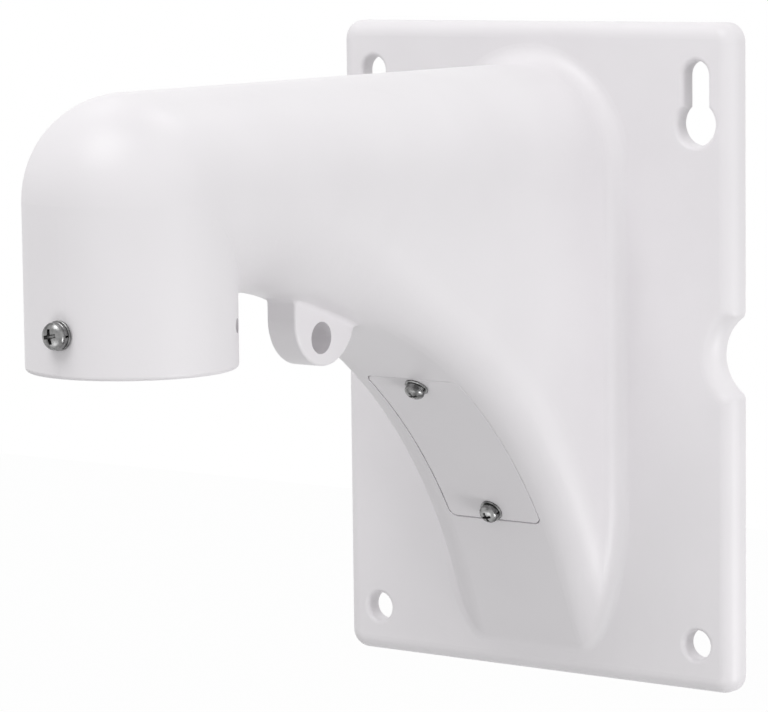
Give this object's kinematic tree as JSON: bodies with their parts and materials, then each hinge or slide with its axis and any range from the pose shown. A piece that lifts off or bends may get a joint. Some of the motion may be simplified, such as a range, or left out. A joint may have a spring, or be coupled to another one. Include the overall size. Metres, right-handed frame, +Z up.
{
  "type": "camera wall bracket",
  "caption": "White cast wall bracket: a hollow arm on a plate, a threaded drop for a hanging camera, a lug and a screwed cable cover.",
  "frame": {"origin": "middle of the wall plate's back, on the wall plane", "axes": "+X to the right as the plate is seen from the room, +Y into the wall, +Z up; the arm reaches out towards -Y"},
  "size_m": [0.173, 0.272, 0.24],
  "materials": {
    "coated_casting": "satin white powder coat on cast aluminium",
    "stainless_steel": "bright stainless steel",
    "seal_rubber": "matt black foam rubber"
  },
  "bodies": {
    "root": {"bracket_body": "coated_casting", "access_cover": "coated_casting", "cover_seal": "seal_rubber", "cover_screw_upper": "stainless_steel", "cover_screw_lower": "stainless_steel", "cover_spring_washer_upper": "stainless_steel", "cover_spring_washer_lower": "stainless_steel", "cover_flat_washer_upper": "stainless_steel", "cover_flat_washer_lower": "stainless_steel", "lock_screw": "stainless_steel", "lock_spring_washer": "stainless_steel", "lock_flat_washer": "stainless_steel"}
  },
  "joints": []
}
